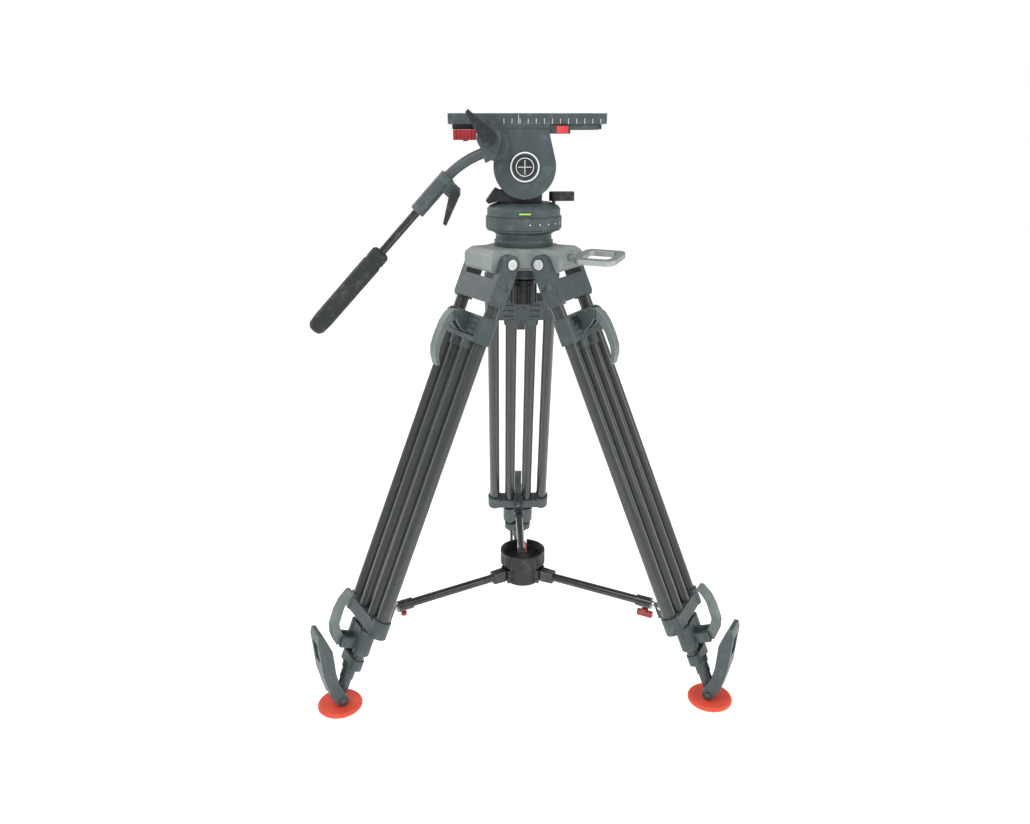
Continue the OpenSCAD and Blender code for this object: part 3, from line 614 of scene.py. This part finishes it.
class TRIPOD_OT_tubes(bpy.types.Operator):
    """Makes the legs' carbon tubes with their winding"""
    bl_idname = "tripod.tubes"
    bl_label = "Leg tubes"

    def execute(self, context):
        sizes = context.scene.tripod_sizes
        radius = sizes.tube_radius / MM
        inside, outside = sizes.inner_offset / MM, sizes.outer_offset / MM
        stage = radius - TUBE_WALL - SLIDE_GAP
        for side, leg in LEGS.items():
            for label, node, body, offset, outer, inner in (
                    ("outer_tubes", "outer_tubes", "leg", outside, radius, radius - TUBE_WALL),
                    ("inner_tubes", "inner_tubes", "middle", inside, radius, radius - TUBE_WALL),
                    ("lower_tubes", "lower_stage", "lower", inside, stage + SLEEVE, stage - LOWEST_WALL)):
                along = (vertices(frame["nodes"][f"{node}_{side}"]) - leg.hinge) @ leg.down / MM
                low, high = along.min(), along.max()
                if label == "lower_tubes":
                    low += SLEEVE
                    high = (leg.foot - leg.hinge) @ leg.down / MM - YOKE_ABOVE_FOOT
                part = tube(outer, inner, -high, -low)
                pair = joined([leg.put(part, 0, y, 0) for y in (-offset, offset)])
                replaced = (f"{label}_{side}",) if label != "lower_tubes" else ()
                made = piece(f"{label}_{side}_wound", pair, f"{body}_{side}", paint("Leg Carbon"),
                             replaced)
                local = (vertices(made) - leg.hinge) @ np.stack([leg.out, leg.across, leg.down], 1)
                angle = np.arctan2(local[:, 1] - np.sign(local[:, 1]) * offset * MM, local[:, 0])
                mapped(made, angle * radius * MM, local[:, 2])
        return {"FINISHED"}


# ---------------------------------------------------------------- marks and small parts

def bar_at(low, high):
    """A block from its lowest to its highest corner, in millimetres from the tripod's axis."""
    (x0, y0, z0), (x1, y1, z1) = low, high
    points, faces = plate([(x0, y0), (x1, y0), (x1, y1), (x0, y1)], z0, z1)
    return on_axis((points, faces))


def disc(radius, thick, hole=0.0):
    """A flat ring or disc about z: (r cos a, r sin a, h) round the outline of its wall."""
    if hole:
        return tube(radius, hole, 0.0, thick, chamfer=thick * 0.3)
    return lathe([(radius, 0.0), (radius, thick * 0.7), (radius - thick * 0.3, thick)])


class TRIPOD_OT_marks(bpy.types.Operator):
    """Makes the plate's scale and strips, the badge, the ring's dots and the spirit level"""
    bl_idname = "tripod.marks"
    bl_label = "Marks and small parts"

    def execute(self, context):
        depth = context.scene.tripod_sizes.mark_depth / MM
        low, high = (np.array(corner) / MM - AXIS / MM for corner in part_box("camera_plate"))
        side, top = low[1] + 1.0, high[2]
        pitch, first = 12.7, -33.0
        ticks = [bar_at((first + pitch * k - 0.35, side - depth, top - 15.5),
                        (first + pitch * k + 0.35, side + 0.2, top - 8.0)) for k in range(13)]
        ticks.append(bar_at((-10.35, side - depth, top - 15.5), (-9.65, side + 0.2, top - 2.0)))
        piece("plate_scale", joined(ticks), "plate", paint("Mark Paint"))

        strips = []
        for y in (-26.0, 26.0):
            outline = superellipse(111.5, 5.7, 8.0, 64) + (4.0, y)
            strips.append(on_axis(plate(outline, top - 1.15, top - 0.1)))
        piece("plate_strips", joined(strips), "plate", paint("Pad Rubber"))

        face = -47.0
        height = TILT[2] / MM
        toward = dict(x=(1, 0, 0), z=(0, -1, 0))

        def badge(part):
            return on_axis(moved(part, (0, face, height), **toward))
        cross = [plate([(-a, -b), (a, -b), (a, b), (-a, b)], 0.0, depth) for a, b in ((11, 0.5), (0.5, 11))]
        piece("badge_face", badge(disc(19.0, depth * 0.8)), "tilt", paint("Satin Black"))
        flat = dict(x=(1, 0, 0), y=(0, 1, 0))
        marks = [disc(23.2, depth, 21.2), moved(disc(14.5, depth * 0.8, 13.4), (0, 0, depth * 0.7), **flat)]
        marks += [moved(arm, (0, 0, depth * 0.7), **flat) for arm in cross]
        piece("badge_marks", joined([badge(part) for part in marks]), "tilt",
              paint("Mark Paint"))

        ring_low, ring_high = (np.array(corner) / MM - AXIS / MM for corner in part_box("pan_drag_ring"))
        reach, middle = ring_high[0], (ring_low[2] + ring_high[2]) / 2
        dots = []
        for k in range(6):
            a = math.radians(-82.5 + 15 * k)
            outward = (math.cos(a), math.sin(a), 0)
            place = np.array(outward) * (reach - 0.1) + (0, 0, middle)
            dots.append(on_axis(moved(disc(1.1, 0.2), place, z=outward, y=(0, 0, 1))))
        piece("ring_dots", joined(dots), "drag_ring", paint("Mark Paint"))

        base = ring_high[2]
        turn = np.linspace(0, math.pi, 12)
        glass = np.column_stack([np.sin(turn) * 1.7, np.sign(-np.cos(turn)) * 8 - np.cos(turn) * 1.7])
        vial = moved(lathe(glass), (0, -60.0, base + 7.2), z=(1, 0, 0), y=(0, 0, 1))
        piece("level_vial", on_axis(vial), "pan", paint("Vial Green"))
        return {"FINISHED"}


# ---------------------------------------------------------------- stage

class TRIPOD_OT_stage(bpy.types.Operator):
    """Sets the pale floor, the soft lights and the camera"""
    bl_idname = "tripod.stage"
    bl_label = "Stage"

    def execute(self, context):
        stage = context.scene.tripod_stage
        floor_size = 14.0
        mesh = bpy.data.meshes.new("floor")
        half = floor_size / 2
        mesh.from_pydata([(-half, -half, 0), (half, -half, 0), (half, half, 0), (-half, half, 0)], [],
                         [(0, 1, 2, 3)])
        floor = bpy.data.objects.new("floor", mesh)
        context.scene.collection.objects.link(floor)
        made, tree, shader, where = material("Floor", specular=0.2)
        noise = add(tree, "TexNoise", {"Vector": where.outputs["Object"], "Scale": 3.0})
        blend = add(tree, "Mix", {"Factor": noise.outputs[0], 6: (0.93, 0.93, 0.93, 1),
                                  7: (0.96, 0.96, 0.96, 1)}, data_type="RGBA")
        tree.links.new(blend.outputs[2], shader.inputs["Base Color"])
        shader.inputs["Roughness"].default_value = 0.9
        tree.links.new(blend.outputs[2], shader.inputs["Emission Color"])
        shader.inputs["Emission Strength"].default_value = 0.6
        mesh.materials.append(made)

        world = bpy.data.worlds.new("Studio")
        world.use_nodes = True
        back = world.node_tree.nodes["Background"]
        back.inputs["Color"].default_value = (1, 1, 1, 1)
        # The backdrop is seen white, and lights the object less.
        path = add(world.node_tree, "LightPath")
        glow = add(world.node_tree, "MapRange", {"Value": path.outputs["Is Camera Ray"],
                                                 "To Min": stage.ambient, "To Max": 1.0})
        world.node_tree.links.new(glow.outputs[0], back.inputs["Strength"])
        context.scene.world = world
        context.scene.view_settings.view_transform = "Standard"

        for name, place, aim, width, height, power in (
                ("key", (-0.9, -1.6, 2.6), (0, 0, 0.6), 1.6, 1.2, stage.key),
                ("fill", (1.9, -1.0, 1.5), (0, 0, 0.6), 0.8, 1.8, stage.key * 0.45),
                ("rim", (-1.8, 1.2, 1.9), (0, 0, 0.6), 0.8, 1.8, stage.key * 0.5)):
            lamp = bpy.data.lights.new(name, "AREA")
            lamp.shape, lamp.size, lamp.size_y, lamp.energy = "RECTANGLE", width, height, power
            shown = bpy.data.objects.new(name, lamp)
            shown.location = place
            shown.rotation_euler = (Vector(aim) - Vector(place)).to_track_quat("-Z", "Y").to_euler()
            context.scene.collection.objects.link(shown)

        lens = bpy.data.cameras.new("camera")
        lens.lens, lens.sensor_width = stage.lens, 36.0
        camera = bpy.data.objects.new("camera", lens)
        camera.location = Vector(AXIS) + Vector(stage.eye)
        camera.rotation_euler = (math.pi / 2 - stage.dip, 0, -stage.heading)
        context.scene.collection.objects.link(camera)
        context.scene.camera = camera
        return {"FINISHED"}


class TRIPOD_PT_parts(bpy.types.Panel):
    """Lists the tripod's sizes, colours and parts"""
    bl_idname = "TRIPOD_PT_parts"
    bl_label = "Fluid head tripod"
    bl_space_type = "VIEW_3D"
    bl_region_type = "UI"
    bl_category = "Tripod"

    def draw(self, context):
        for settings in (context.scene.tripod_sizes, context.scene.tripod_colours,
                         context.scene.tripod_stage):
            box = self.layout.box()
            for key in settings.__annotations__:
                box.prop(settings, key)
        for operator in PARTS:
            self.layout.operator(operator.bl_idname)


PARTS = (TRIPOD_OT_finishes, TRIPOD_OT_castings, TRIPOD_OT_tubes, TRIPOD_OT_marks, TRIPOD_OT_stage)
SETTINGS = {"tripod_sizes": TripodSizes, "tripod_colours": TripodColours, "tripod_stage": TripodStage}


def register():
    for made in (*SETTINGS.values(), *PARTS, TRIPOD_PT_parts):
        bpy.utils.register_class(made)
    for name, made in SETTINGS.items():
        setattr(bpy.types.Scene, name, bpy.props.PointerProperty(type=made))


def unregister():
    for name in SETTINGS:
        delattr(bpy.types.Scene, name)
    for made in reversed((*SETTINGS.values(), *PARTS, TRIPOD_PT_parts)):
        bpy.utils.unregister_class(made)


def main():
    register()
    for operator in PARTS:
        family, name = operator.bl_idname.split(".")
        if getattr(getattr(bpy.ops, family), name)() != {"FINISHED"}:
            raise RuntimeError(f"{operator.bl_idname} did not finish")


if __name__ == "__main__":
    main()
